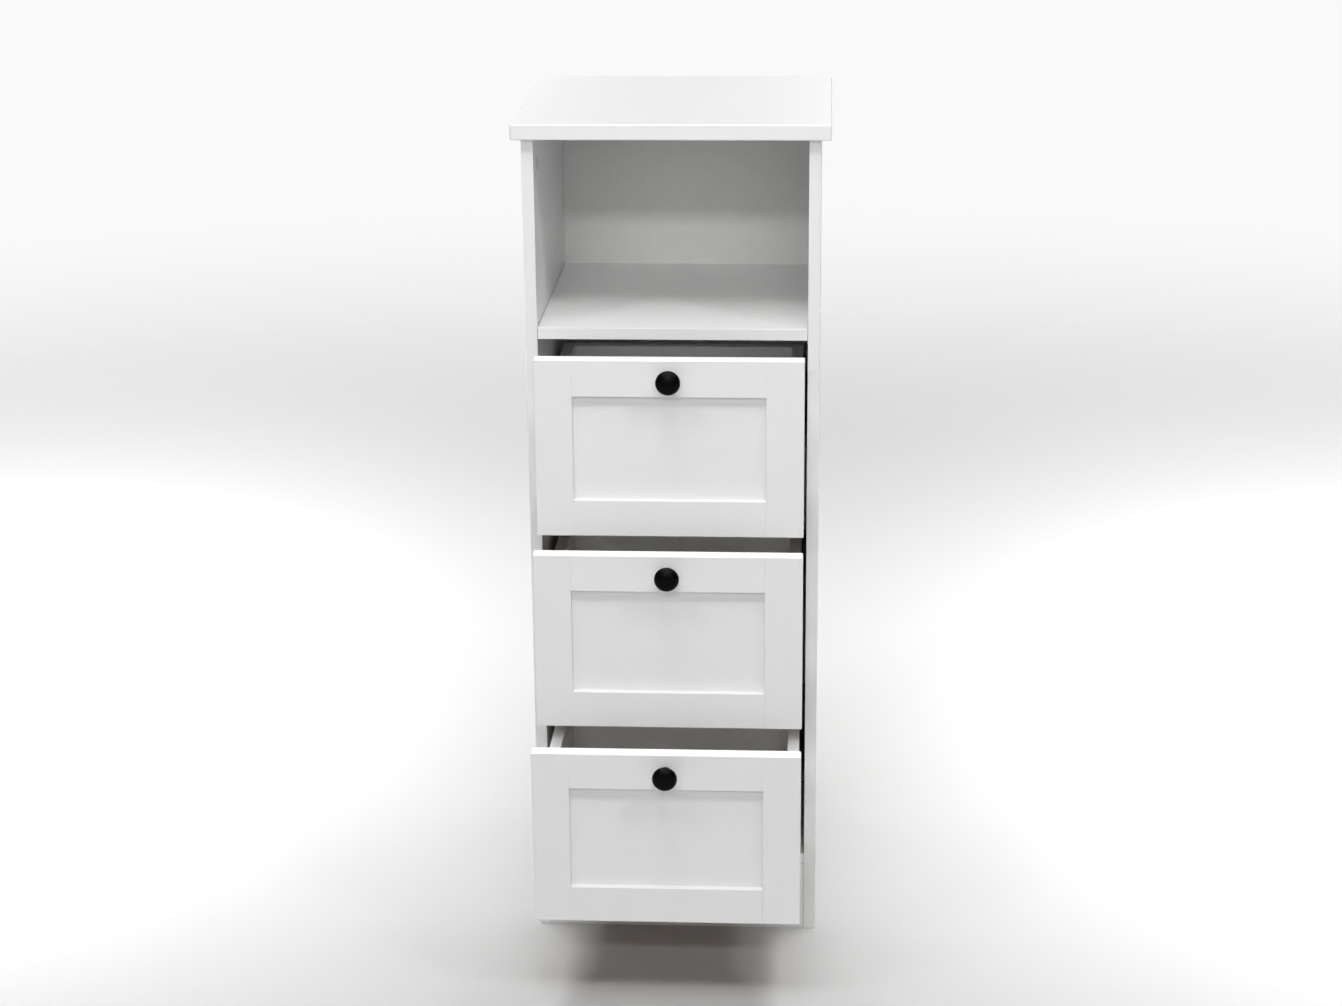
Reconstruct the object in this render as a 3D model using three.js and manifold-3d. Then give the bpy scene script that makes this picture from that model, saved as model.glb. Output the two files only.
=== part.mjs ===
// Slim cabinet of coated board: an open compartment above three framed drawers that slide out.
// Millimetres, +Z up. The front faces -Y, +X is to the right of someone who stands in front of it.
// The origin is on the floor, at the middle of the underside of the plinth board.
import * as THREE from 'three';
import { mergeVertices } from 'three/addons/utils/BufferGeometryUtils.js';
import Module from 'manifold-3d';

const wasm = await Module();
wasm.setup();

// ---------------------------------------------------------------- driving dimensions
const WIDTH = 300;              // over the side panels
const HEIGHT = 882;             // floor to the top surface
const DEPTH = 300;              // of the side panels
const BOARD = 12;               // sides, shelf, bottom, plinth and drawer boxes
const TOP_THICKNESS = 16;
const TOP_OVERHANG = 10;        // at the front and at both sides
const TOP_CORNER_RADIUS = 3;
const TOP_EDGE_SOFTENING = 1.5;
const HARDBOARD = 3;            // back panel and drawer bottoms
const FIT = 0.3;                // clearance between pieces that touch

const SHELF_TOP = 672;          // floor of the open compartment
const BASE_TOP = 89;            // upper face of the bottom panel
const BACK_PANEL_FOOT = 77;

const FRONT_WIDTH = 271;        // a drawer's front
const FRONT_HEIGHT = 185;
const FRONT_THICKNESS = 16;
const FRONT_GAP = 4;            // above and below each front
const FRAME_BAR = 38;           // width of the stiles and rails
const RECESS = 7;               // centre panel behind the face of the frame
const CENTRE_THICKNESS = 6;
const TONGUE = 8;               // centre panel into the grooves of the frame

const BOX_WIDTH = 264;          // over the sides of a drawer box
const BOX_LENGTH = 270;
const BOX_LOW = 17;             // lower edge of its sides, above the front's lower edge
const BOX_HIGH = 129;           // upper edge of its sides
const BOTTOM_GROOVE_LOW = 25;
const GROOVE_DEPTH = 5;

const RUNNER_HEIGHT = 10;
const RUNNER_MIDDLE = 73;       // above the front's lower edge
const RUNNER_LENGTH = 262;
const RUNNER_SETBACK = 30;      // behind the front edges of the sides
const RUNNER_PLAY = 1;          // to the floor of the groove

const KNOB_DIAMETER = 25;
const KNOB_PROJECTION = 22;
const KNOB_FOOT = 13;
const KNOB_NECK = 10;
const KNOB_SCREW = 4;
const KNOB_SCREW_HEAD = 8;
const KNOB_THREAD_DEPTH = 12;

const CAM_DIAMETER = 15;
const CAM_DEPTH = 9.5;
const CAM_DROP = 32;            // centre below the underside of the top
const CAM_SETBACK = 37;         // centre from the front and from the rear edge of a side
const CAM_BOLT = 6;
const CAM_BOLT_HEAD = 4.5;
const CAM_BOLT_INTO_TOP = 10;

const DRAWERS = [               // how far each one stands open
  { name: 'top', open: 67 },
  { name: 'middle', open: 116 },
  { name: 'bottom', open: 177 },
];

// ---------------------------------------------------------------- derived places
const FACE = -BOARD / 2;                          // y of the cabinet's front face
const REAR = FACE + DEPTH;
const INSIDE = WIDTH / 2 - BOARD;                 // half the clear width
const UNDERSIDE = HEIGHT - TOP_THICKNESS;         // of the top panel
const DRAWER_PITCH = FRONT_HEIGHT + FRONT_GAP;
const LOWEST_FRONT = BASE_TOP + FRONT_GAP;
const BOX_SIDE_IN = BOX_WIDTH / 2 - BOARD;        // inner face of a drawer's side
const BOX_REAR = FRONT_THICKNESS + FIT + BOX_LENGTH;
const KNOB_HEIGHT = FRONT_HEIGHT - FRAME_BAR / 2;
const ROUND = 32;                                 // sides of a drilled hole

// ---------------------------------------------------------------- finishes
const whiteBoard = () => new THREE.MeshStandardMaterial({ color: 0xf1f1ef, roughness: 0.42, metalness: 0 });
const whiteFront = () => new THREE.MeshStandardMaterial({ color: 0xf3f3f1, roughness: 0.38, metalness: 0 });
const hardboard = () => new THREE.MeshStandardMaterial({ color: 0xd9d9d6, roughness: 0.6, metalness: 0 });
const blackSatin = () => new THREE.MeshStandardMaterial({ color: 0x16161a, roughness: 0.35, metalness: 0.3 });
const zinc = () => new THREE.MeshStandardMaterial({ color: 0xa9abad, roughness: 0.4, metalness: 1 });
const greyPlastic = () => new THREE.MeshStandardMaterial({ color: 0x4a4a48, roughness: 0.55, metalness: 0 });

// ---------------------------------------------------------------- solid helpers
function toSolid(geometry) {
  const bare = geometry.clone();
  bare.deleteAttribute('normal');
  bare.deleteAttribute('uv');
  const welded = mergeVertices(bare, 1e-4);
  return new wasm.Manifold(new wasm.Mesh({
    numProp: 3,
    vertProperties: new Float32Array(welded.attributes.position.array),
    triVerts: new Uint32Array(welded.index.array),
  }));
}

function toGeometry(solid) {
  const mesh = solid.getMesh();
  const geometry = new THREE.BufferGeometry();
  geometry.setAttribute('position', new THREE.BufferAttribute(new Float32Array(mesh.vertProperties), 3));
  geometry.setIndex(new THREE.BufferAttribute(new Uint32Array(mesh.triVerts), 1));
  geometry.computeVertexNormals();
  return geometry;
}

function cut(geometry, tools) {
  return toGeometry(tools.reduce((solid, tool) => solid.subtract(toSolid(tool)), toSolid(geometry)));
}

function join(geometry, additions) {
  return toGeometry(additions.reduce((solid, addition) => solid.add(toSolid(addition)), toSolid(geometry)));
}

function block(low, high) {
  const size = high.map((value, axis) => value - low[axis]);
  const centre = high.map((value, axis) => (value + low[axis]) / 2);
  return new THREE.BoxGeometry(...size).translate(...centre);
}

// A round bar or drill along one axis, from a point on its axis.
function rod(diameter, length, axis, start) {
  const bar = new THREE.CylinderGeometry(diameter / 2, diameter / 2, length, ROUND).translate(0, length / 2, 0);
  if (axis === 'x') bar.rotateZ(-Math.PI / 2);
  if (axis === 'z') bar.rotateX(Math.PI / 2);
  return bar.translate(...start);
}

function place(parent, name, geometry, material, position = [0, 0, 0]) {
  const mesh = new THREE.Mesh(geometry, material);
  mesh.name = name;
  mesh.position.set(...position);
  parent.add(mesh);
  return mesh;
}

// A board between two corners, with its tongues and less its grooves and holes, all given in the same frame.
function board(parent, name, low, high, material, tools = [], tongues = []) {
  const centre = high.map((value, axis) => (value + low[axis]) / 2);
  const toCentre = (geometry) => geometry.translate(...centre.map((value) => -value));
  const plain = toCentre(block(low, high));
  const tongued = tongues.length ? join(plain, tongues.map(toCentre)) : plain;
  const shaped = tools.length ? cut(tongued, tools.map(toCentre)) : tongued;
  return place(parent, name, shaped, material, centre);
}

// ---------------------------------------------------------------- carcass
const CAM_PLACES = [
  { name: 'front', y: FACE + CAM_SETBACK },
  { name: 'rear', y: REAR - CAM_SETBACK },
];
const CAM_CENTRE = UNDERSIDE - CAM_DROP;
const BOARD_MIDDLE = WIDTH / 2 - BOARD / 2;       // x of the middle of a side panel
const HOLE_PLAY = 2 * FIT;

function topPanel() {
  const halfWidth = WIDTH / 2 + TOP_OVERHANG - TOP_EDGE_SOFTENING;
  const front = FACE - TOP_OVERHANG + TOP_EDGE_SOFTENING;
  const rear = REAR + FIT + HARDBOARD - TOP_EDGE_SOFTENING;
  const r = TOP_CORNER_RADIUS;
  const outline = new THREE.Shape();
  outline.moveTo(-halfWidth + r, front);
  outline.lineTo(halfWidth - r, front);
  outline.absarc(halfWidth - r, front + r, r, -Math.PI / 2, 0);
  outline.lineTo(halfWidth, rear - r);
  outline.absarc(halfWidth - r, rear - r, r, 0, Math.PI / 2);
  outline.lineTo(-halfWidth + r, rear);
  outline.absarc(-halfWidth + r, rear - r, r, Math.PI / 2, Math.PI);
  outline.lineTo(-halfWidth, front + r);
  outline.absarc(-halfWidth + r, front + r, r, Math.PI, 1.5 * Math.PI);
  const slab = new THREE.ExtrudeGeometry(outline, {
    depth: TOP_THICKNESS - 2 * TOP_EDGE_SOFTENING,
    bevelThickness: TOP_EDGE_SOFTENING,
    bevelSize: TOP_EDGE_SOFTENING,
    bevelSegments: 3,
    curveSegments: 5,
  }).translate(0, 0, UNDERSIDE + TOP_EDGE_SOFTENING);
  const sockets = [];
  for (const side of [-1, 1]) {
    for (const cam of CAM_PLACES) {
      const start = [side * BOARD_MIDDLE, cam.y, UNDERSIDE - 1];
      sockets.push(rod(CAM_BOLT + HOLE_PLAY, CAM_BOLT_INTO_TOP + FIT + 1, 'z', start));
    }
  }
  return cut(slab, sockets);
}

// Each side is drilled from above for the cam bolts, and from inside for the cams.
function sidePanel(parent, name, side) {
  const x = [side * WIDTH / 2, side * INSIDE].sort((a, b) => a - b);
  const holes = [];
  for (const cam of CAM_PLACES) {
    const pocketDepth = CAM_DEPTH + FIT + 1;
    const pocketStart = side > 0 ? INSIDE - 1 : -INSIDE - pocketDepth + 1;
    holes.push(rod(CAM_DIAMETER + HOLE_PLAY, pocketDepth, 'x', [pocketStart, cam.y, CAM_CENTRE]));
    holes.push(rod(CAM_BOLT + HOLE_PLAY, CAM_DROP + 1, 'z', [side * BOARD_MIDDLE, cam.y, CAM_CENTRE]));
  }
  const low = [x[0], FACE, 0];
  const high = [x[1], REAR, UNDERSIDE - FIT];
  board(parent, name, low, high, whiteBoard(), holes);
}

// A cam turns in its pocket: a slotted face for the screwdriver, and a mouth that draws the bolt's head down.
function camLock(side) {
  const body = rod(CAM_DIAMETER, CAM_DEPTH, 'x', [side > 0 ? 0 : -CAM_DEPTH, 0, 0]);
  const boltAxis = side * BOARD / 2;
  const bolt = CAM_BOLT + HOLE_PLAY;
  const mouthX = [boltAxis - side * bolt / 2, side * BOARD].sort((a, b) => a - b);
  const mouth = block([mouthX[0], -bolt / 2, -2], [mouthX[1], bolt / 2, CAM_DIAMETER]);
  const slots = [2.2, 8].map((width, index) => {
    const tall = [8, 2.2][index];
    return block([-1.5, -width / 2, -tall / 2], [1.5, width / 2, tall / 2]);
  });
  return cut(body, [mouth, ...slots]);
}

// The bolt stands in the underside of the top; its waisted end reaches into the cam.
function camBolt() {
  const top = CAM_BOLT_INTO_TOP;
  const foot = -CAM_DROP;
  const profile = [
    [0, top], [CAM_BOLT / 2, top], [CAM_BOLT / 2, foot + 8],
    [CAM_BOLT_HEAD / 2 - 0.6, foot + 7], [CAM_BOLT_HEAD / 2 - 0.6, foot + 3],
    [CAM_BOLT_HEAD / 2, foot + 2], [CAM_BOLT_HEAD / 2, foot - 0.6], [0, foot - 0.6],
  ].map(([radius, z]) => new THREE.Vector2(radius, z)).reverse();
  return new THREE.LatheGeometry(profile, 20).rotateX(Math.PI / 2);
}

function carcass() {
  const group = new THREE.Group();
  const clear = INSIDE - FIT;
  place(group, 'top_panel', topPanel(), whiteBoard());
  sidePanel(group, 'left_side_panel', -1);
  sidePanel(group, 'right_side_panel', 1);
  board(group, 'fixed_shelf', [-clear, FACE, SHELF_TOP - BOARD], [clear, REAR, SHELF_TOP], whiteBoard());
  board(group, 'bottom_panel', [-clear, FACE, BASE_TOP - BOARD], [clear, REAR, BASE_TOP], whiteBoard());
  board(group, 'plinth_board', [-clear, FACE, 0], [clear, FACE + BOARD, BASE_TOP - BOARD - FIT], whiteBoard());
  const backLow = [-WIDTH / 2 + FIT, REAR + FIT, BACK_PANEL_FOOT];
  const backHigh = [WIDTH / 2 - FIT, REAR + FIT + HARDBOARD, UNDERSIDE - FIT];
  board(group, 'back_panel', backLow, backHigh, hardboard());
  for (const [sideName, side] of [['left', -1], ['right', 1]]) {
    for (const cam of CAM_PLACES) {
      const camPosition = [side * INSIDE, cam.y, CAM_CENTRE];
      place(group, `cam_lock_${sideName}_${cam.name}`, camLock(side), zinc(), camPosition);
      const boltPosition = [side * BOARD_MIDDLE, cam.y, UNDERSIDE];
      place(group, `cam_bolt_${sideName}_${cam.name}`, camBolt(), zinc(), boltPosition);
    }
  }
  return group;
}

// A strip on the inside of a side panel, which carries the groove of the drawer's side.
function runner(parent, drawerName, sideName, side, frontFoot) {
  const wall = side * (INSIDE - FIT);
  const tip = side * (BOX_WIDTH / 2 - GROOVE_DEPTH + RUNNER_PLAY);
  const x = [wall, tip].sort((a, b) => a - b);
  const z = frontFoot + RUNNER_MIDDLE;
  const low = [x[0], FACE + RUNNER_SETBACK, z - RUNNER_HEIGHT / 2];
  const high = [x[1], FACE + RUNNER_SETBACK + RUNNER_LENGTH, z + RUNNER_HEIGHT / 2];
  board(parent, `${drawerName}_runner_${sideName}`, low, high, greyPlastic());
}

// ---------------------------------------------------------------- drawer
// A drawer's own frame: y = 0 is the face of its front, z = 0 the front's lower edge.
function framedFront(group, name) {
  const half = FRONT_WIDTH / 2;
  const opening = half - FRAME_BAR;
  const grooveFront = RECESS - FIT;
  const grooveBack = RECESS + CENTRE_THICKNESS + FIT;
  const grooveFloor = TONGUE + FIT;
  const part = (suffix) => `${name}_front_${suffix}`;
  for (const [sideName, side] of [['left', -1], ['right', 1]]) {
    const x = [side * half, side * opening].sort((a, b) => a - b);
    const grooveX = [side * (opening - 1), side * (opening + grooveFloor)].sort((a, b) => a - b);
    const groove = block([grooveX[0], grooveFront, -1], [grooveX[1], grooveBack, FRONT_HEIGHT + 1]);
    const high = [x[1], FRONT_THICKNESS, FRONT_HEIGHT];
    board(group, part(`${sideName}_stile`), [x[0], 0, 0], high, whiteFront(), [groove]);
  }
  const railHalf = opening - FIT;
  const screwHole = rod(KNOB_SCREW + HOLE_PLAY, FRONT_THICKNESS + 2, 'y', [0, -1, KNOB_HEIGHT]);
  const tongueWidth = FRAME_BAR - TONGUE - 2 * FIT;
  const rails = [
    { suffix: 'bottom_rail', low: 0, tongueLow: 0, holes: [],
      groove: [FRAME_BAR - grooveFloor, FRAME_BAR + 1] },
    { suffix: 'top_rail', low: FRONT_HEIGHT - FRAME_BAR, tongueLow: FRONT_HEIGHT - tongueWidth, holes: [screwHole],
      groove: [FRONT_HEIGHT - FRAME_BAR - 1, FRONT_HEIGHT - FRAME_BAR + grooveFloor] },
  ];
  for (const rail of rails) {
    const groove = block([-railHalf - 1, grooveFront, rail.groove[0]], [railHalf + 1, grooveBack, rail.groove[1]]);
    const tongue = block([-opening - TONGUE, RECESS, rail.tongueLow],
      [opening + TONGUE, RECESS + CENTRE_THICKNESS, rail.tongueLow + tongueWidth]);
    const high = [railHalf, FRONT_THICKNESS, rail.low + FRAME_BAR];
    board(group, part(rail.suffix), [-railHalf, 0, rail.low], high, whiteFront(),
      [groove, ...rail.holes], [tongue]);
  }
  const low = [-opening - TONGUE, RECESS, FRAME_BAR - TONGUE];
  const high = [opening + TONGUE, RECESS + CENTRE_THICKNESS, FRONT_HEIGHT - FRAME_BAR + TONGUE];
  board(group, part('centre_panel'), low, high, whiteFront());
}

function drawerBox(group, name) {
  const front = FRONT_THICKNESS + FIT;
  const bottomGroove = [BOTTOM_GROOVE_LOW, BOTTOM_GROOVE_LOW + HARDBOARD + 2 * FIT];
  for (const [sideName, side] of [['left', -1], ['right', 1]]) {
    const outer = side * BOX_WIDTH / 2;
    const inner = side * BOX_SIDE_IN;
    const x = [outer, inner].sort((a, b) => a - b);
    const bottomX = [inner - side, inner + side * GROOVE_DEPTH].sort((a, b) => a - b);
    const runnerX = [outer + side, outer - side * GROOVE_DEPTH].sort((a, b) => a - b);
    const runnerTop = RUNNER_MIDDLE + RUNNER_HEIGHT / 2 + FIT;
    const runnerFoot = RUNNER_MIDDLE - RUNNER_HEIGHT / 2 - 2 * FIT;
    const grooves = [
      block([bottomX[0], front - 1, bottomGroove[0]], [bottomX[1], BOX_REAR + 1, bottomGroove[1]]),
      block([runnerX[0], RUNNER_SETBACK - FIT, runnerFoot], [runnerX[1], BOX_REAR + 1, runnerTop]),
    ];
    const high = [x[1], BOX_REAR, BOX_HIGH];
    board(group, `${name}_box_${sideName}_side`, [x[0], front, BOX_LOW], high, whiteBoard(), grooves);
  }
  const backHalf = BOX_SIDE_IN - FIT;
  const backLow = [-backHalf, BOX_REAR - BOARD, bottomGroove[1]];
  board(group, `${name}_box_back`, backLow, [backHalf, BOX_REAR, BOX_HIGH], whiteBoard());
  const bottomHalf = BOX_SIDE_IN + GROOVE_DEPTH - FIT;
  const bottomLow = [-bottomHalf, front, bottomGroove[0] + FIT];
  const bottomHigh = [bottomHalf, BOX_REAR, bottomGroove[1] - FIT];
  board(group, `${name}_box_bottom`, bottomLow, bottomHigh, hardboard());
}

// A turned mushroom knob: foot, slim neck and a broad low head, with a threaded hole from behind.
function knobGeometry() {
  const radius = KNOB_DIAMETER / 2;
  const foot = KNOB_FOOT / 2;
  const neck = KNOB_NECK / 2;
  const bore = KNOB_SCREW / 2 + FIT;
  const profile = [
    [bore, FIT], [foot - 0.3, FIT], [foot, 0.9], [foot - 0.4, 1.8], [neck + 0.3, 3.4], [neck, 6],
    [neck + 0.5, 9], [7.6, 11.6], [radius - 1, 13.6], [radius - 0.2, 14.8], [radius, 16],
    [radius - 0.2, 17.4], [radius - 1.1, 19], [9.6, 20.4], [6.4, 21.4], [3, 21.9], [0, KNOB_PROJECTION],
    [0, KNOB_THREAD_DEPTH], [bore, KNOB_THREAD_DEPTH], [bore, FIT],
  ].map(([r, out]) => new THREE.Vector2(r, out));
  return new THREE.LatheGeometry(profile, 28).rotateX(Math.PI);
}

function knobScrew() {
  const head = KNOB_SCREW_HEAD / 2;
  const seat = FRONT_THICKNESS + FIT;
  const end = -(KNOB_THREAD_DEPTH - 1);
  const profile = [
    [0, end], [KNOB_SCREW / 2, end], [KNOB_SCREW / 2, seat], [head, seat], [head, seat + 1.4],
    [head - 1.2, seat + 2.4], [0, seat + 2.6],
  ].map(([r, y]) => new THREE.Vector2(r, y));
  return new THREE.LatheGeometry(profile, 20);
}

function drawer({ name, open }, frontFoot) {
  const group = new THREE.Group();
  group.position.set(0, FACE - open, frontFoot);
  framedFront(group, name);
  drawerBox(group, name);
  place(group, `${name}_knob`, knobGeometry(), blackSatin(), [0, 0, KNOB_HEIGHT]);
  place(group, `${name}_knob_screw`, knobScrew(), zinc(), [0, 0, KNOB_HEIGHT]);
  return group;
}

// ---------------------------------------------------------------- the cabinet
const cabinet = new THREE.Group();
cabinet.add(carcass());
DRAWERS.forEach((entry, index) => {
  const frontFoot = LOWEST_FRONT + (DRAWERS.length - 1 - index) * DRAWER_PITCH;
  for (const [sideName, side] of [['left', -1], ['right', 1]]) {
    runner(cabinet, entry.name, sideName, side, frontFoot);
  }
  cabinet.add(drawer(entry, frontFoot));
});

export default cabinet;
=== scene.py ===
"""Looks of the slim chest of drawers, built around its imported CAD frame.

Metres, +Z up, front towards -Y.
"""

import math

import bmesh
import bpy
from mathutils import Matrix, Vector


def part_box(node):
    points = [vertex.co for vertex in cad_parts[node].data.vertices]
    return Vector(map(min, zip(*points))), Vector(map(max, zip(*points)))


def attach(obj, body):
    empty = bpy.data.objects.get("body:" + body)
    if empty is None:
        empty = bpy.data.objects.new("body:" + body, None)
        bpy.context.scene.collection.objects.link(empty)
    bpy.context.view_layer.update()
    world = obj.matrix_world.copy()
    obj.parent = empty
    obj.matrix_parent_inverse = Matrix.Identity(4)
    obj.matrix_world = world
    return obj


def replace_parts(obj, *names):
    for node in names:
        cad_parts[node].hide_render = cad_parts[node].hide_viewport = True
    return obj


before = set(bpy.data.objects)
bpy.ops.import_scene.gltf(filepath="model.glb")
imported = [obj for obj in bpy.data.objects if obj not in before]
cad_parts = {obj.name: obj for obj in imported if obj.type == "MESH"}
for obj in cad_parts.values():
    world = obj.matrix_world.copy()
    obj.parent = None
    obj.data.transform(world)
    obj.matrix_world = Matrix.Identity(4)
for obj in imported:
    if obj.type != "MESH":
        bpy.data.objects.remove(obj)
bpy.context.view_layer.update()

MM = 0.001
DRAWERS = ("top", "middle", "bottom")
SIDES = ("left", "right")
CABINET = "cabinet"

# ------------------------------------------------------------------ camera
CAMERA_PLACE = (0.1544, -2.6269, 1.3292)
CAMERA_TURN = math.radians(3.43)      # to the left, because it stands right of the cabinet's middle
CAMERA_TILT = math.radians(17.81)     # downwards
CAMERA_ROLL = math.radians(-0.49)
LENS = 71.25
SENSOR = 36.0


def make_camera():
    data = bpy.data.cameras.new("camera")
    data.lens = LENS
    data.sensor_width = SENSOR
    data.sensor_fit = "HORIZONTAL"
    data.clip_end = 50
    camera = bpy.data.objects.new("camera", data)
    turn = Matrix.Rotation(CAMERA_TURN, 4, "Z") @ Matrix.Rotation(math.pi / 2 - CAMERA_TILT, 4, "X")
    camera.matrix_world = Matrix.Translation(CAMERA_PLACE) @ turn @ Matrix.Rotation(CAMERA_ROLL, 4, "Z")
    bpy.context.scene.collection.objects.link(camera)
    bpy.context.scene.camera = camera


# ------------------------------------------------------------------ node helpers
class Finish:
    """A material under construction: short calls that add and join its nodes."""

    def __init__(self, name):
        self.material = bpy.data.materials.new(name)
        self.material.use_nodes = True
        self.tree = self.material.node_tree
        self.shader = self.tree.nodes["Principled BSDF"]
        self.coordinates = self.tree.nodes.new("ShaderNodeTexCoord")

    def node(self, kind, **settings):
        made = self.tree.nodes.new(kind)
        for key, value in settings.items():
            setattr(made, key, value)
        return made

    def feed(self, socket, value):
        if isinstance(value, bpy.types.NodeSocket):
            self.tree.links.new(value, socket)
        else:
            socket.default_value = value

    def math(self, operation, first, second=0.0):
        made = self.node("ShaderNodeMath", operation=operation)
        for socket, value in zip(made.inputs, (first, second)):
            self.feed(socket, value)
        return made.outputs[0]

    def noise(self, size, detail=2.0, stretch=(1, 1, 1), roughness=0.5):
        """Soft noise from 0 to 1, whose features measure about size metres."""
        mapping = self.node("ShaderNodeMapping")
        mapping.inputs["Scale"].default_value = stretch
        self.feed(mapping.inputs["Vector"], self.coordinates.outputs["Object"])
        made = self.node("ShaderNodeTexNoise")
        self.feed(made.inputs["Vector"], mapping.outputs["Vector"])
        made.inputs["Scale"].default_value = 1 / size
        made.inputs["Detail"].default_value = detail
        made.inputs["Roughness"].default_value = roughness
        return made.outputs["Fac"]

    def cells(self, size, stretch=(1, 1, 1), output="Color"):
        mapping = self.node("ShaderNodeMapping")
        mapping.inputs["Scale"].default_value = stretch
        self.feed(mapping.inputs["Vector"], self.coordinates.outputs["Object"])
        made = self.node("ShaderNodeTexVoronoi")
        self.feed(made.inputs["Vector"], mapping.outputs["Vector"])
        made.inputs["Scale"].default_value = 1 / size
        return made.outputs[output]

    def scaled(self, value, low, high):
        """value, from 0 to 1, stretched to low..high."""
        made = self.node("ShaderNodeMapRange")
        self.feed(made.inputs["Value"], value)
        made.inputs["To Min"].default_value = low
        made.inputs["To Max"].default_value = high
        return made.outputs["Result"]

    def blend(self, share, first, second):
        made = self.node("ShaderNodeMix", data_type="RGBA")
        self.feed(made.inputs["Factor"], share)
        self.feed(made.inputs[6], first)
        self.feed(made.inputs[7], second)
        return made.outputs[2]

    def bump(self, height, distance, strength=1.0, under=None):
        made = self.node("ShaderNodeBump")
        made.inputs["Distance"].default_value = distance
        made.inputs["Strength"].default_value = strength
        self.feed(made.inputs["Height"], height)
        if under is not None:
            self.feed(made.inputs["Normal"], under)
        return made.outputs["Normal"]

    def set(self, **values):
        for name, value in values.items():
            self.feed(self.shader.inputs[name.replace("_", " ")], value)


def edge_wear(finish, node, reach):
    """Near 1 along the outer edges of a board-shaped node, broken up by noise, and 0 elsewhere."""
    low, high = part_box(node)
    position = finish.node("ShaderNodeSeparateXYZ")
    finish.feed(position.inputs[0], finish.coordinates.outputs["Object"])
    gaps = []
    for axis in range(3):
        below = finish.math("ABSOLUTE", finish.math("SUBTRACT", position.outputs[axis], low[axis]))
        above = finish.math("ABSOLUTE", finish.math("SUBTRACT", position.outputs[axis], high[axis]))
        gaps.append(finish.math("MINIMUM", below, above))
    nearer = finish.math("MINIMUM", gaps[0], gaps[1])
    farther = finish.math("MAXIMUM", gaps[0], gaps[1])
    to_edge = finish.math("MAXIMUM", nearer, finish.math("MINIMUM", farther, gaps[2]))
    near_edge = finish.math("SUBTRACT", 1.0, finish.math("MULTIPLY", to_edge, 1 / reach))
    patchy = finish.math("MULTIPLY", finish.math("SUBTRACT", finish.noise(9 * MM, 4), 0.45), 5.0)
    worn = finish.node("ShaderNodeMath", operation="MULTIPLY", use_clamp=True)
    finish.feed(worn.inputs[0], finish.math("MAXIMUM", near_edge, 0.0))
    finish.feed(worn.inputs[1], finish.math("MAXIMUM", patchy, 0.0))
    return worn.outputs[0]


def shade(value, tint=(1, 1, 1)):
    return (value * tint[0], value * tint[1], value * tint[2], 1)


# ------------------------------------------------------------------ materials
WHITE_BOARD = 0.87
WHITE_FOIL = 0.86
WARM = (1.0, 0.998, 0.994)


def chip_colour(finish):
    """Raw particle board: flattened chips in tans and browns."""
    chips = finish.cells(2.2 * MM, stretch=(1, 1, 1.6))
    grey = finish.node("ShaderNodeRGBToBW")
    finish.feed(grey.inputs[0], chips)
    light = finish.blend(grey.outputs[0], (0.42, 0.29, 0.16, 1), (0.16, 0.095, 0.045, 1))
    return finish.blend(finish.noise(0.5 * MM, 3), light, (0.55, 0.42, 0.26, 1))


def coated_share(finish, node, coated):
    """1 on the box faces of a board that are coated, 0 inside grooves and on raw edges."""
    if not coated:
        return 1.0
    low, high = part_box(node)
    position = finish.node("ShaderNodeSeparateXYZ")
    finish.feed(position.inputs[0], finish.coordinates.outputs["Object"])
    nearest = 1.0
    for face in coated:
        axis = "xyz".index(face[1])
        plane = (high if face[0] == "+" else low)[axis]
        away = finish.math("ABSOLUTE", finish.math("SUBTRACT", position.outputs[axis], plane))
        nearest = finish.math("MINIMUM", away, nearest)
    return finish.math("LESS_THAN", nearest, 0.45 * MM)


def board_material(node, coated):
    """White melamine-faced board: faint pearl texture, soft cloudiness, raw chips on faces left bare."""
    finish = Finish(f"white_board_{node}")
    cloud = finish.noise(90 * MM, 3)
    white = finish.blend(cloud, shade(WHITE_BOARD * 0.985, WARM), shade(WHITE_BOARD, WARM))
    share = coated_share(finish, node, coated)
    worn = edge_wear(finish, node, 1.2 * MM)
    bare = shade(WHITE_BOARD * 0.8, (1, 0.97, 0.92))
    white = finish.blend(finish.math("MULTIPLY", worn, 0.5), white, bare)
    colour = finish.blend(share, chip_colour(finish), white)
    smear = finish.scaled(finish.noise(35 * MM, 4), 0.34, 0.46)
    smear = finish.math("ADD", smear, finish.math("MULTIPLY", worn, 0.15))
    rough = finish.math("ADD", smear, finish.math("MULTIPLY", finish.math("SUBTRACT", 1.0, share), 0.4))
    pearl = finish.bump(finish.noise(1.3 * MM, 2), 0.03 * MM)
    raw = finish.bump(finish.cells(2.2 * MM, output="Distance"), 0.15 * MM, under=pearl)
    normal = finish.node("ShaderNodeMix", data_type="VECTOR")
    finish.feed(normal.inputs["Factor"], share)
    finish.feed(normal.inputs[4], raw)
    finish.feed(normal.inputs[5], pearl)
    finish.set(Base_Color=colour, Roughness=rough, Normal=normal.outputs[1])
    return finish.material


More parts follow.
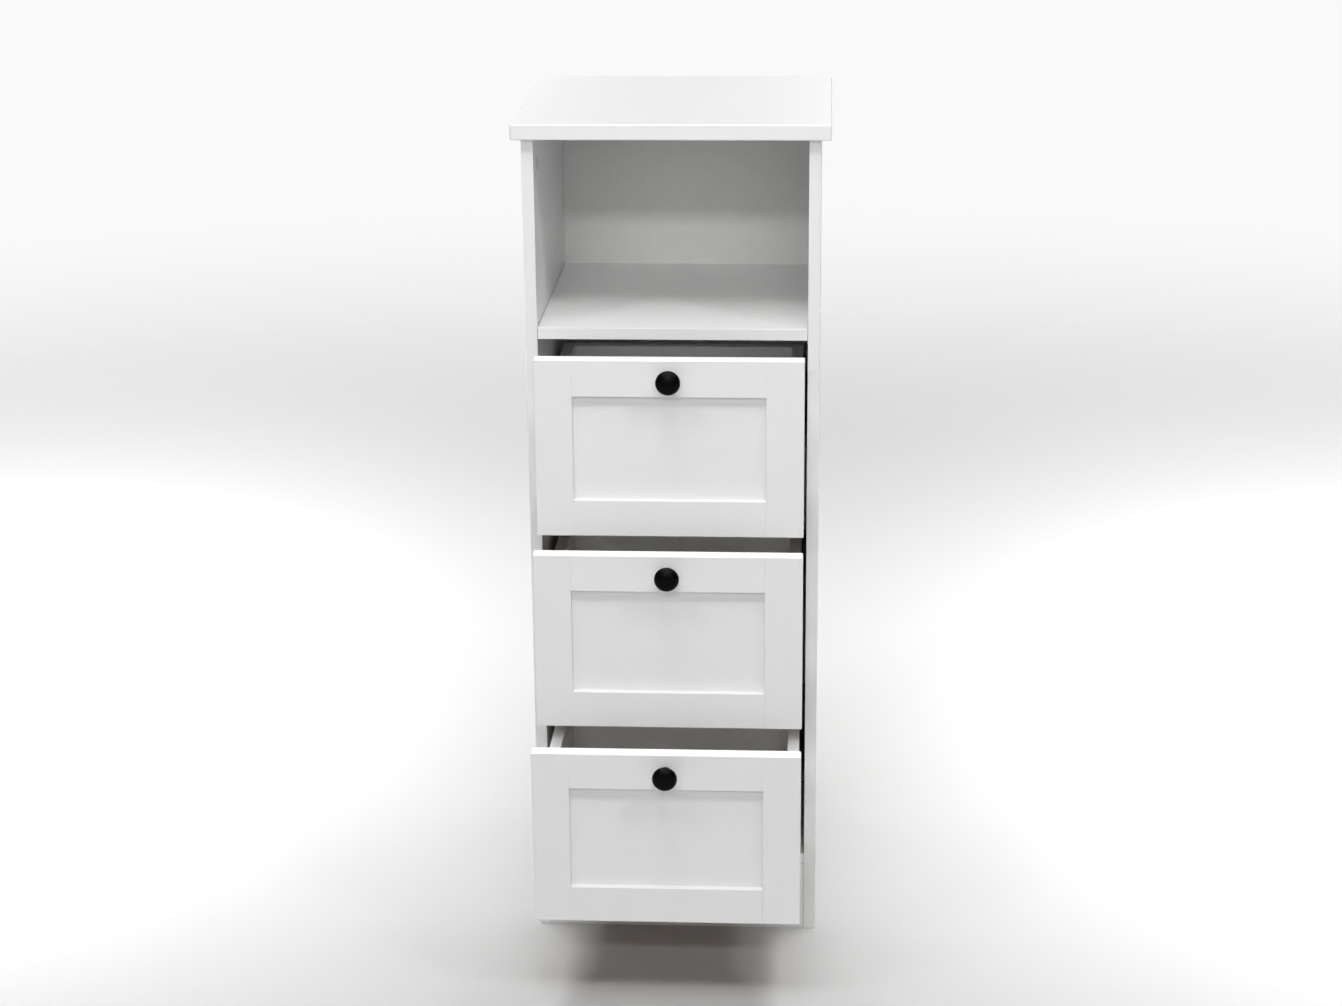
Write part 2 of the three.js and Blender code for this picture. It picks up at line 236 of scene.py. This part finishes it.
def foil_material(node):
    """Foil wrapped over fibreboard: smoother than the boards, with a faint orange peel."""
    finish = Finish(f"white_foil_{node}")
    cloud = finish.noise(60 * MM, 3)
    white = finish.blend(cloud, shade(WHITE_FOIL * 0.985, WARM), shade(WHITE_FOIL, WARM))
    worn = edge_wear(finish, node, 1.0 * MM)
    bare = shade(WHITE_FOIL * 0.82, (1, 0.98, 0.94))
    white = finish.blend(finish.math("MULTIPLY", worn, 0.35), white, bare)
    peel = finish.bump(finish.noise(4 * MM, 1), 0.04 * MM)
    fine = finish.bump(finish.noise(0.8 * MM, 2), 0.012 * MM, under=peel)
    finish.set(Base_Color=white, Roughness=finish.scaled(finish.noise(30 * MM, 4), 0.3, 0.4), Normal=fine)
    return finish.material


def hardboard_material(name, printed_face):
    """Thin hardboard, printed white on one face and brown fibre with a screen pattern on the other."""
    finish = Finish(name)
    axis = "xyz".index(printed_face[1])
    facing = finish.node("ShaderNodeSeparateXYZ")
    finish.feed(facing.inputs[0], finish.coordinates.outputs["Normal"])
    towards = finish.math("MULTIPLY", facing.outputs[axis], 1.0 if printed_face[0] == "+" else -1.0)
    printed = finish.math("GREATER_THAN", towards, 0.5)
    mottle = finish.noise(14 * MM, 4, roughness=0.65)
    white = finish.blend(mottle, (0.70, 0.70, 0.69, 1), (0.79, 0.79, 0.78, 1))
    fibre = finish.noise(3 * MM, 5, roughness=0.7)
    brown = finish.blend(fibre, (0.20, 0.115, 0.055, 1), (0.36, 0.225, 0.12, 1))
    screen = finish.cells(1.6 * MM, output="Distance")
    height = finish.math("MULTIPLY", screen, finish.math("SUBTRACT", 1.0, printed))
    soft = finish.bump(finish.noise(2 * MM, 3), 0.03 * MM)
    finish.set(
        Base_Color=finish.blend(printed, brown, white),
        Roughness=finish.math("SUBTRACT", 0.8, finish.math("MULTIPLY", printed, 0.28)),
        Normal=finish.bump(height, 0.2 * MM, under=soft),
    )
    return finish.material


def black_material():
    """Satin black paint on a casting: slightly uneven gloss and a fine grain."""
    finish = Finish("black_satin")
    finish.shader.inputs["Specular IOR Level"].default_value = 0.09
    grain = finish.bump(finish.noise(0.35 * MM, 2), 0.008 * MM)
    colour = finish.blend(finish.noise(6 * MM, 3), (0.001, 0.001, 0.0011, 1), (0.0022, 0.0022, 0.0024, 1))
    gloss = finish.scaled(finish.noise(5 * MM, 3), 0.24, 0.34)
    finish.set(Base_Color=colour, Roughness=gloss, Normal=grain)
    return finish.material


def zinc_material():
    """Zinc plate: bright metal with a cloudy, faintly brushed skin."""
    finish = Finish("zinc")
    cloud = finish.noise(2.5 * MM, 4)
    colour = finish.blend(cloud, (0.50, 0.51, 0.53, 1), (0.66, 0.66, 0.65, 1))
    finish.shader.inputs["Metallic"].default_value = 1.0
    scratch = finish.noise(0.4 * MM, 3, stretch=(1, 1, 12))
    gloss = finish.scaled(cloud, 0.28, 0.48)
    finish.set(Base_Color=colour, Roughness=gloss, Normal=finish.bump(scratch, 0.01 * MM))
    return finish.material


def plastic_material():
    """Dark moulded plastic of the runner strips, polished along the middle by use."""
    finish = Finish("grey_plastic")
    grain = finish.noise(0.6 * MM, 2)
    colour = finish.blend(finish.noise(12 * MM, 3), (0.045, 0.045, 0.043, 1), (0.065, 0.065, 0.062, 1))
    streak = finish.noise(6 * MM, 3, stretch=(1, 0.06, 1))
    gloss = finish.scaled(streak, 0.35, 0.6)
    finish.set(Base_Color=colour, Roughness=gloss, Normal=finish.bump(grain, 0.02 * MM))
    return finish.material


# ------------------------------------------------------------------ shape helpers
def link_mesh(name, mesh, material, body, slot):
    piece = bpy.data.objects.new(name, mesh)
    bpy.context.scene.collection.objects.link(piece)
    mesh.materials.append(material)
    mesh.polygons.foreach_set("use_smooth", [True] * len(mesh.polygons))
    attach(piece, body)
    return piece


def from_bmesh(name, shape, *link):
    mesh = bpy.data.meshes.new(name)
    bmesh.ops.recalc_face_normals(shape, faces=shape.faces)
    shape.to_mesh(mesh)
    shape.free()
    return link_mesh(name, mesh, *link)


SHARP_EDGE = 0.15 * MM


def weight_normals(piece):
    """Keeps broad faces flat and lets only the rounded edges turn."""
    modifier = piece.modifiers.new("flat_faces", "WEIGHTED_NORMAL")
    modifier.weight = 100
    modifier.keep_sharp = True


def soften(obj, radius):
    """Rounds the edges of a CAD board with modifiers, so that its own mesh stays as it is."""
    weld = obj.modifiers.new("weld", "WELD")
    weld.merge_threshold = 0.01 * MM
    bevel = obj.modifiers.new("edges", "BEVEL")
    bevel.width = radius
    bevel.segments = 3
    bevel.limit_method = "ANGLE"
    bevel.angle_limit = math.radians(50)
    bevel.use_clamp_overlap = True
    obj.data.polygons.foreach_set("use_smooth", [True] * len(obj.data.polygons))
    weight_normals(obj)


def rounded_block(name, node, rounding, *link, span=None):
    """A board with the outline of a CAD node, or with span (low, high) along X.

    rounding gives (test, radius) pairs. The first test that an edge's place passes sets how round it is.
    Other edges get a small radius.
    """
    low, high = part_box(node)
    if span:
        low.x, high.x = span
    shape = bmesh.new()
    corners = [
        [[shape.verts.new((x, y, z)) for z in (low.z, high.z)] for y in (low.y, high.y)]
        for x in (low.x, high.x)
    ]
    ((a, b), (c, d)), ((e, f), (g, h)) = corners
    for face in ((a, b, d, c), (e, g, h, f), (a, e, f, b), (c, d, h, g), (a, c, g, e), (b, f, h, d)):
        shape.faces.new(face)
    widest = max([radius for _, radius in rounding] + [SHARP_EDGE])
    weight = shape.edges.layers.float.new("bevel_weight_edge")
    for edge in shape.edges:
        middle = (edge.verts[0].co + edge.verts[1].co) / 2
        along = edge.verts[0].co - edge.verts[1].co
        axis = max(range(3), key=lambda i: abs(along[i]))
        at = tuple(0 if i == axis else (1 if middle[i] > (low[i] + high[i]) / 2 else -1) for i in range(3))
        radius = next((radius for test, radius in rounding if test(at)), SHARP_EDGE)
        edge[weight] = radius / widest
    piece = from_bmesh(name, shape, *link)
    bevel = piece.modifiers.new("edges", "BEVEL")
    bevel.width = widest
    bevel.segments = 4
    bevel.limit_method = "WEIGHT"
    weight_normals(piece)
    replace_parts(piece, node)
    return piece


def turned(name, node, profile, centre, material, body, slot, steps=72):
    """A turned piece on an axis along Y: profile gives (radius, distance out), from back to tip."""
    shape = bmesh.new()
    rings = []
    for radius, out in profile:
        if radius < 1e-6:
            rings.append([shape.verts.new((centre.x, centre.y - out, centre.z))])
            continue
        circle = []
        for step in range(steps):
            angle = 2 * math.pi * step / steps
            x = centre.x + radius * math.cos(angle)
            z = centre.z + radius * math.sin(angle)
            circle.append(shape.verts.new((x, centre.y - out, z)))
        rings.append(circle)
    for first, second in zip(rings, rings[1:]):
        for step in range(steps):
            after = (step + 1) % steps
            if len(first) == 1:
                shape.faces.new((first[0], second[after], second[step]))
            elif len(second) == 1:
                shape.faces.new((first[step], first[after], second[0]))
            else:
                shape.faces.new((first[step], first[after], second[after], second[step]))
    piece = from_bmesh(name, shape, material, body, slot)
    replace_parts(piece, node)
    return piece


def smooth_line(points, steps=5):
    """Catmull-Rom curve through points of a profile."""
    line = []
    padded = [points[0]] + list(points) + [points[-1]]
    for a, b, c, d in zip(padded, padded[1:], padded[2:], padded[3:]):
        for step in range(steps):
            t = step / steps
            line.append(tuple(
                0.5 * (2 * q + (r - p) * t + (2 * p - 5 * q + 4 * r - s) * t * t
                       + (3 * q - p - 3 * r + s) * t ** 3)
                for p, q, r, s in zip(a, b, c, d)
            ))
    return line + [points[-1]]


# ------------------------------------------------------------------ pieces
ALL_FACES = ("-x", "+x", "-y", "+y", "-z", "+z")


def without(*faces):
    return tuple(face for face in ALL_FACES if face not in faces)


def dress_cad_node(node, material, radius):
    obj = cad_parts[node]
    obj.data.materials.clear()
    obj.data.materials.append(material)
    soften(obj, radius)


def dress_carcass():
    raw_faces = {
        "left_side_panel": ("+y", "-z", "+z"),
        "right_side_panel": ("+y", "-z", "+z"),
        "fixed_shelf": ("+y", "-x", "+x"),
        "bottom_panel": ("+y", "-x", "+x"),
        "plinth_board": ("-z", "+z", "-x", "+x"),
    }
    for node, raw in raw_faces.items():
        dress_cad_node(node, board_material(node, without(*raw)), 0.5 * MM)
    dress_cad_node("back_panel", hardboard_material("back_hardboard", "-y"), 0.2 * MM)


def make_top():
    coated = board_material("top_panel", ())
    low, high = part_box("top_panel")
    upright, rim = 3 * MM, 1.5 * MM
    shape = bmesh.new()
    outline = []
    steps = 8
    for sx, sy, start in ((1, -1, -90), (1, 1, 0), (-1, 1, 90), (-1, -1, 180)):
        x = (high.x if sx > 0 else low.x) - sx * upright
        y = (high.y if sy > 0 else low.y) - sy * upright
        for step in range(steps + 1):
            angle = math.radians(start + 90 * step / steps)
            outline.append((x + upright * math.cos(angle), y + upright * math.sin(angle)))
    foot = [shape.verts.new((x, y, low.z)) for x, y in outline]
    bottom = shape.faces.new(foot)
    made = bmesh.ops.extrude_face_region(shape, geom=[bottom])
    raised = [item for item in made["geom"] if isinstance(item, bmesh.types.BMVert)]
    bmesh.ops.translate(shape, verts=raised, vec=(0, 0, high.z - low.z))
    rims = [edge for edge in shape.edges if abs(edge.verts[0].co.z - edge.verts[1].co.z) < 1e-7]
    bmesh.ops.bevel(
        shape, geom=rims, offset=rim, segments=5, profile=0.5, affect="EDGES", clamp_overlap=True)
    piece = from_bmesh("top_slab", shape, coated, CABINET, "white_board")
    weight_normals(piece)
    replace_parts(piece, "top_panel")


FRONT_RADIUS = 1.2 * MM
RECESS_RADIUS = 0.35 * MM


def stile_rounding(side):
    """Which edges of a stile are the outside of the front, and which one borders the recess."""
    outer = 1 if side == "right" else -1
    return [
        (lambda at: at[2] != 0 and at[0] == 0, FRONT_RADIUS),
        (lambda at: at[0] == outer, FRONT_RADIUS),
        (lambda at: at[0] == -outer and at[1] == -1, RECESS_RADIUS),
    ]


def rail_rounding(end):
    outer = 1 if end == "top" else -1
    return [
        (lambda at: at[2] == outer and at[0] == 0, FRONT_RADIUS),
        (lambda at: at[2] == -outer and at[0] == 0, RECESS_RADIUS),
    ]


def make_front(drawer):
    body = f"{drawer}_drawer"
    for side in SIDES:
        node = f"{drawer}_front_{side}_stile"
        name, foil = f"{drawer}_stile_{side}", foil_material(node)
        rounded_block(name, node, stile_rounding(side), foil, body, "white_front")
    for end in ("top", "bottom"):
        node = f"{drawer}_front_{end}_rail"
        make_rail(drawer, end, node, body)
    node = f"{drawer}_front_centre_panel"
    rounded_block(f"{drawer}_panel", node, [], foil_material(node), body, "white_front")


def make_rail(drawer, end, node, body):
    """The rail's body between the stiles; the stub tongues of its CAD node stay inside the stiles."""
    stile_box = [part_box(f"{drawer}_front_{side}_stile") for side in SIDES]
    span = (stile_box[0][1].x + 0.02 * MM, stile_box[1][0].x - 0.02 * MM)
    name, foil = f"{drawer}_rail_{end}", foil_material(node)
    rounded_block(name, node, rail_rounding(end), foil, body, "white_front", span=span)


def dress_box(drawer):
    for side in SIDES:
        node = f"{drawer}_box_{side}_side"
        dress_cad_node(node, board_material(node, ("-x", "+x", "+z")), 0.4 * MM)
    node = f"{drawer}_box_back"
    dress_cad_node(node, board_material(node, ("-y", "+y", "+z")), 0.4 * MM)
    dress_cad_node(f"{drawer}_box_bottom", hardboard_material(f"{drawer}_bottom_hardboard", "+z"), 0.2 * MM)


KNOB_PROFILE = (
    (2.6, 0.3), (6.0, 0.3), (6.4, 0.5), (6.5, 1.0), (6.2, 1.7), (5.5, 2.9), (5.05, 4.8), (5.05, 7.0),
    (5.5, 9.2), (7.0, 11.3), (9.3, 12.8), (11.3, 13.8), (12.2, 14.7), (12.5, 15.8), (12.4, 17.0),
    (11.9, 18.2), (10.9, 19.3), (9.3, 20.3), (6.9, 21.1), (4.0, 21.75), (1.8, 21.95), (0.0, 22.0),
)


def make_knob(drawer, black):
    low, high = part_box(f"{drawer}_front_top_rail")
    face = low.y
    knob_low, knob_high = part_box(f"{drawer}_knob")
    centre = Vector(((knob_low.x + knob_high.x) / 2, face, (knob_low.z + knob_high.z) / 2))
    foot = KNOB_PROFILE[:2]
    curve = smooth_line([(r * MM, out * MM) for r, out in KNOB_PROFILE[1:]])
    profile = [(0.0, foot[0][1] * MM), (foot[0][0] * MM, foot[0][1] * MM)] + curve
    name, node, body = f"{drawer}_knob_turned", f"{drawer}_knob", f"{drawer}_drawer"
    turned(name, node, profile, centre, black, body, "black_satin")


def ring(shape, centre, side, up, out, radius, rise, steps):
    made = []
    for step in range(steps):
        angle = 2 * math.pi * step / steps
        around = side * radius * math.cos(angle) + up * radius * math.sin(angle)
        made.append(shape.verts.new(centre + around + out * rise))
    return made


def add_fastener(shape, centre, out, profile, arm=0.0, turn=0.0, steps=32):
    """Adds a round fastener to a mesh.

    profile gives (radius, rise) in millimetres from its back to its face, out points the way it faces,
    and arm is half the length of the cross recess in the face, in millimetres.
    """
    out = Vector(out)
    side = Matrix.Rotation(turn, 3, out) @ out.orthogonal().normalized()
    up = out.cross(side)
    rings = [ring(shape, centre, side, up, out, radius * MM, rise * MM, steps) for radius, rise in profile]
    shape.faces.new(list(reversed(rings[0])))
    for first, second in zip(rings, rings[1:]):
        for step in range(steps):
            after = (step + 1) % steps
            shape.faces.new((first[step], first[after], second[after], second[step]))
    face = rings[-1]
    if not arm:
        shape.faces.new(face)
        return
    rise, half = profile[-1][1], arm * 0.24
    plan = [(arm, -half), (arm, half), (half, half), (half, arm), (-half, arm), (-half, half),
            (-arm, half), (-arm, -half), (-half, -half), (-half, -arm), (half, -arm), (half, -half)]
    mouth = [shape.verts.new(centre + (side * x + up * y + out * rise) * MM) for x, y in plan]
    floor = [
        shape.verts.new(centre + (side * x * 0.7 + up * y * 0.7 + out * (rise - arm * 0.7)) * MM)
        for x, y in plan
    ]
    mouth_edges = [shape.edges.new((a, b)) for a, b in zip(mouth, mouth[1:] + mouth[:1])]
    face_edges = [shape.edges.get((a, b)) for a, b in zip(face, face[1:] + face[:1])]
    bmesh.ops.triangle_fill(shape, edges=face_edges + mouth_edges, use_beauty=True, use_dissolve=False)
    for step in range(12):
        after = (step + 1) % 12
        shape.faces.new((mouth[step], mouth[after], floor[after], floor[step]))
    shape.faces.new(floor)


def fastener_piece(name, shape, body, material):
    piece = from_bmesh(name, shape, material, body, "zinc")
    piece.data.polygons.foreach_set("use_smooth", [False] * len(piece.data.polygons))
    return piece


def make_cam_locks(zinc):
    """Cam discs, flush with the inner faces of the side panels, with the recess for the screwdriver."""
    for index, side in enumerate(SIDES):
        for place in ("front", "rear"):
            node = f"cam_lock_{side}_{place}"
            low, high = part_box(node)
            centre = (low + high) / 2
            out = Vector((1 if side == "left" else -1, 0, 0))
            depth = (high.x - low.x) / MM
            centre.x = low.x if side == "left" else high.x
            radius = (high.z - low.z) / 2 / MM
            profile = [
                (radius - 0.4, 0), (radius, 0.4), (radius, depth - 0.5),
                (radius - 0.15, depth - 0.1), (radius - 0.5, depth),
            ]
            shape = bmesh.new()
            add_fastener(shape, centre, out, profile, arm=3.4, turn=0.5 + 0.7 * index, steps=48)
            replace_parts(fastener_piece(f"cam_disc_{side}_{place}", shape, CABINET, zinc), node)


def make_knob_screw(drawer, zinc):
    node = f"{drawer}_knob_screw"
    low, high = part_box(node)
    centre = (low + high) / 2
    centre.y = low.y
    length = (high.y - low.y) / MM
    head = (high.z - low.z) / 2 / MM
    shank = 2.0
    profile = [
        (1.5, 0), (shank, 0.6), (shank, length - 2.6), (head - 0.2, length - 2.6), (head, length - 2.3),
        (head, length - 1.6), (head - 0.5, length - 0.8), (head - 1.4, length - 0.2), (head - 2.0, length),
    ]
    shape = bmesh.new()
    add_fastener(shape, centre, (0, 1, 0), profile, arm=1.7, turn=0.3 * DRAWERS.index(drawer))
    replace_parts(fastener_piece(f"{drawer}_screw", shape, f"{drawer}_drawer", zinc), node)


NAIL = [(1.6, 0), (1.9, 0.15), (1.75, 0.4), (1.1, 0.6)]


def make_back_nails(zinc):
    """Round-headed pins that hold the back panel to the rear edges of the side panels and shelves."""
    low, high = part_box("back_panel")
    inset = 5 * MM
    shape = bmesh.new()
    rows = 9
    for row in range(rows):
        z = low.z + inset * 2 + (high.z - low.z - inset * 4) * row / (rows - 1)
        for x in (low.x + inset, high.x - inset):
            add_fastener(shape, Vector((x, high.y, z)), (0, 1, 0), NAIL, steps=16)
    for board in ("fixed_shelf", "bottom_panel"):
        board_low, board_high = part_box(board)
        for share in (-0.5, 0, 0.5):
            place = Vector((share * high.x, high.y, (board_low.z + board_high.z) / 2))
            add_fastener(shape, place, (0, 1, 0), NAIL, steps=16)
    fastener_piece("back_nails", shape, CABINET, zinc)


def make_small_parts():
    zinc = zinc_material()
    plastic = plastic_material()
    make_cam_locks(zinc)
    make_back_nails(zinc)
    for side in SIDES:
        for place in ("front", "rear"):
            dress_cad_node(f"cam_bolt_{side}_{place}", zinc, 0.1 * MM)
        for drawer in DRAWERS:
            dress_cad_node(f"{drawer}_runner_{side}", plastic, 0.6 * MM)
    for drawer in DRAWERS:
        make_knob_screw(drawer, zinc)


# ------------------------------------------------------------------ stage and light
FLOOR_PLAIN = 1.2     # metres from the middle where the floor starts to melt into the backdrop
FLOOR_END = 4.0
FLOOR_GREY = (0.5, 0.5, 0.5, 1)
BACKDROP = (0.95, 0.95, 0.95, 1)
FILL_STRENGTH = 0.07


def make_stage():
    """A pale floor around the cabinet, which melts into the backdrop towards its rim."""
    shape = bmesh.new()
    bmesh.ops.create_circle(shape, cap_ends=True, segments=64, radius=FLOOR_END)
    mesh = bpy.data.meshes.new("studio_floor")
    shape.to_mesh(mesh)
    shape.free()
    floor = bpy.data.objects.new("studio_floor", mesh)
    bpy.context.scene.collection.objects.link(floor)
    finish = Finish("studio_floor")
    finish.set(Base_Color=FLOOR_GREY, Roughness=0.9)
    finish.shader.inputs["Specular IOR Level"].default_value = 0.1
    reach = finish.node("ShaderNodeVectorMath", operation="LENGTH")
    finish.feed(reach.inputs[0], finish.coordinates.outputs["Object"])
    fade = finish.node("ShaderNodeMapRange", interpolation_type="SMOOTHSTEP")
    finish.feed(fade.inputs["Value"], reach.outputs["Value"])
    fade.inputs["From Min"].default_value = FLOOR_PLAIN
    fade.inputs["From Max"].default_value = FLOOR_END
    clear = finish.node("ShaderNodeBsdfTransparent")
    melted = finish.node("ShaderNodeMixShader")
    finish.feed(melted.inputs[0], fade.outputs["Result"])
    finish.feed(melted.inputs[1], finish.shader.outputs[0])
    finish.feed(melted.inputs[2], clear.outputs[0])
    finish.feed(finish.tree.nodes["Material Output"].inputs["Surface"], melted.outputs[0])
    mesh.materials.append(finish.material)


def area_light(name, place, target, size, power, spread=180):
    """A soft rectangular light, size metres wide and tall, that camera rays don't see.

    power is in watts, and spread is the full angle of its beam in degrees.
    """
    data = bpy.data.lights.new(name, "AREA")
    data.shape = "RECTANGLE"
    data.size, data.size_y = size
    data.energy = power
    data.spread = math.radians(spread)
    light = bpy.data.objects.new(name, data)
    light.location = place
    light.rotation_euler = (Vector(target) - Vector(place)).to_track_quat("-Z", "Y").to_euler()
    light.visible_camera = False
    bpy.context.scene.collection.objects.link(light)


def make_light():
    """Ceiling and front lights for the cabinet, narrow beams for the floor, and a pale backdrop."""
    world = bpy.data.worlds.new("studio")
    world.use_nodes = True
    nodes, links = world.node_tree.nodes, world.node_tree.links
    fill = nodes["Background"]
    fill.inputs["Color"].default_value = (1, 1, 1, 1)
    fill.inputs["Strength"].default_value = FILL_STRENGTH
    backdrop = nodes.new("ShaderNodeBackground")
    backdrop.inputs["Color"].default_value = BACKDROP
    seen = nodes.new("ShaderNodeLightPath")
    chosen = nodes.new("ShaderNodeMixShader")
    links.new(seen.outputs["Is Camera Ray"], chosen.inputs[0])
    links.new(fill.outputs[0], chosen.inputs[1])
    links.new(backdrop.outputs[0], chosen.inputs[2])
    links.new(chosen.outputs[0], nodes["World Output"].inputs["Surface"])
    bpy.context.scene.world = world
    bpy.context.scene.view_settings.view_transform = "Standard"
    middle = (0, 0, 0.55)
    area_light("ceiling_right", (2.1, -1.7, 3.3), middle, (0.5, 0.5), 21)
    area_light("ceiling_left", (-1.7, -1.7, 3.5), middle, (0.5, 0.5), 21)
    area_light("ceiling_middle", (0.34, -1.7, 3.24), middle, (1.5, 0.6), 19)
    area_light("overhead", (-0.13, -0.9, 3.2), middle, (0.8, 0.8), 20)
    area_light("front_fill", (0, -3.0, 1.5), (0, 0, 0.95), (2.6, 1.4), 3.2, spread=70)
    area_light("front_strip", (0, -3.4, 2.42), (0, 0, 0.7), (2.4, 0.2), 5.3, spread=70)
    area_light("floor_behind", (0, 3.0, 2.8), (0, 3.0, 0), (8.0, 3.2), 85, spread=70)
    area_light("floor_left", (-1.1, 0.6, 2.4), (-1.1, 0.6, 0), (1.2, 1.6), 21, spread=60)
    area_light("floor_right", (1.1, 0.6, 2.4), (1.1, 0.6, 0), (1.2, 1.6), 22, spread=60)
    area_light("floor_front", (0, -3.5, 2.8), (0, -3.5, 0), (8.0, 2.8), 110, spread=70)
    area_light("floor_far_left", (-3.3, -0.4, 2.8), (-3.3, -0.4, 0), (3.0, 3.6), 44, spread=70)
    area_light("floor_far_right", (3.3, -0.4, 2.8), (3.3, -0.4, 0), (3.0, 3.6), 44, spread=70)


# ------------------------------------------------------------------ the whole scene
make_camera()
make_stage()
make_light()
dress_carcass()
make_top()
make_small_parts()
black = black_material()
for drawer in DRAWERS:
    make_front(drawer)
    dress_box(drawer)
    make_knob(drawer, black)
